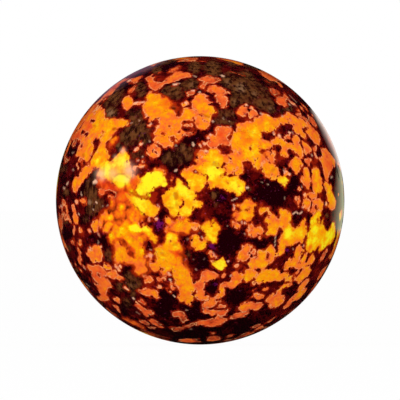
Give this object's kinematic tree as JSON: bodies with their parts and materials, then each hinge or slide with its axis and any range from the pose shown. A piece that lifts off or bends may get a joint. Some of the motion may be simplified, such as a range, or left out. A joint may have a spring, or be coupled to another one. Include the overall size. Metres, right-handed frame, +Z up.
{
  "type": "polished stone ball",
  "caption": "Free polished ball of mottled glowing stone, cue-ball size, with orange and yellow mineral grains flush in a dark ground mass.",
  "frame": {"origin": "centre of the ball", "axes": "+Z up as the ball is seen, -Y towards the viewer, +X to the viewer's right"},
  "size_m": [0.0572, 0.0572, 0.0572],
  "materials": {
    "dark_ground": "polished, near-black maroon",
    "orange_grain": "polished, glowing ember orange",
    "yellow_grain": "polished, glowing golden yellow",
    "pale_yellow_grain": "polished, glowing pale yellow",
    "brown_feldspar": "polished, streaky olive brown",
    "violet_grain": "polished, deep violet red"
  },
  "bodies": {
    "root": {"ground_mass": "dark_ground", "orange_grains_crown": "orange_grain", "orange_grains_upper_left": "orange_grain", "orange_grains_upper_right": "orange_grain", "orange_grains_left": "orange_grain", "orange_grains_centre": "orange_grain", "orange_grains_right": "orange_grain", "orange_grains_lower_left": "orange_grain", "orange_grains_base": "orange_grain", "orange_grains_lower_right": "orange_grain", "yellow_grains_left": "yellow_grain", "yellow_grains_centre": "yellow_grain", "yellow_grains_right": "yellow_grain", "pale_yellow_chip": "pale_yellow_grain", "brown_feldspar_crown": "brown_feldspar", "brown_feldspar_shoulder": "brown_feldspar", "brown_feldspar_lower_left": "brown_feldspar", "brown_feldspar_slab": "brown_feldspar", "violet_flecks": "violet_grain", "orange_grains_back_upper": "orange_grain", "orange_grains_back_lower": "orange_grain", "yellow_grains_back": "yellow_grain", "brown_feldspar_back": "brown_feldspar"}
  },
  "joints": []
}
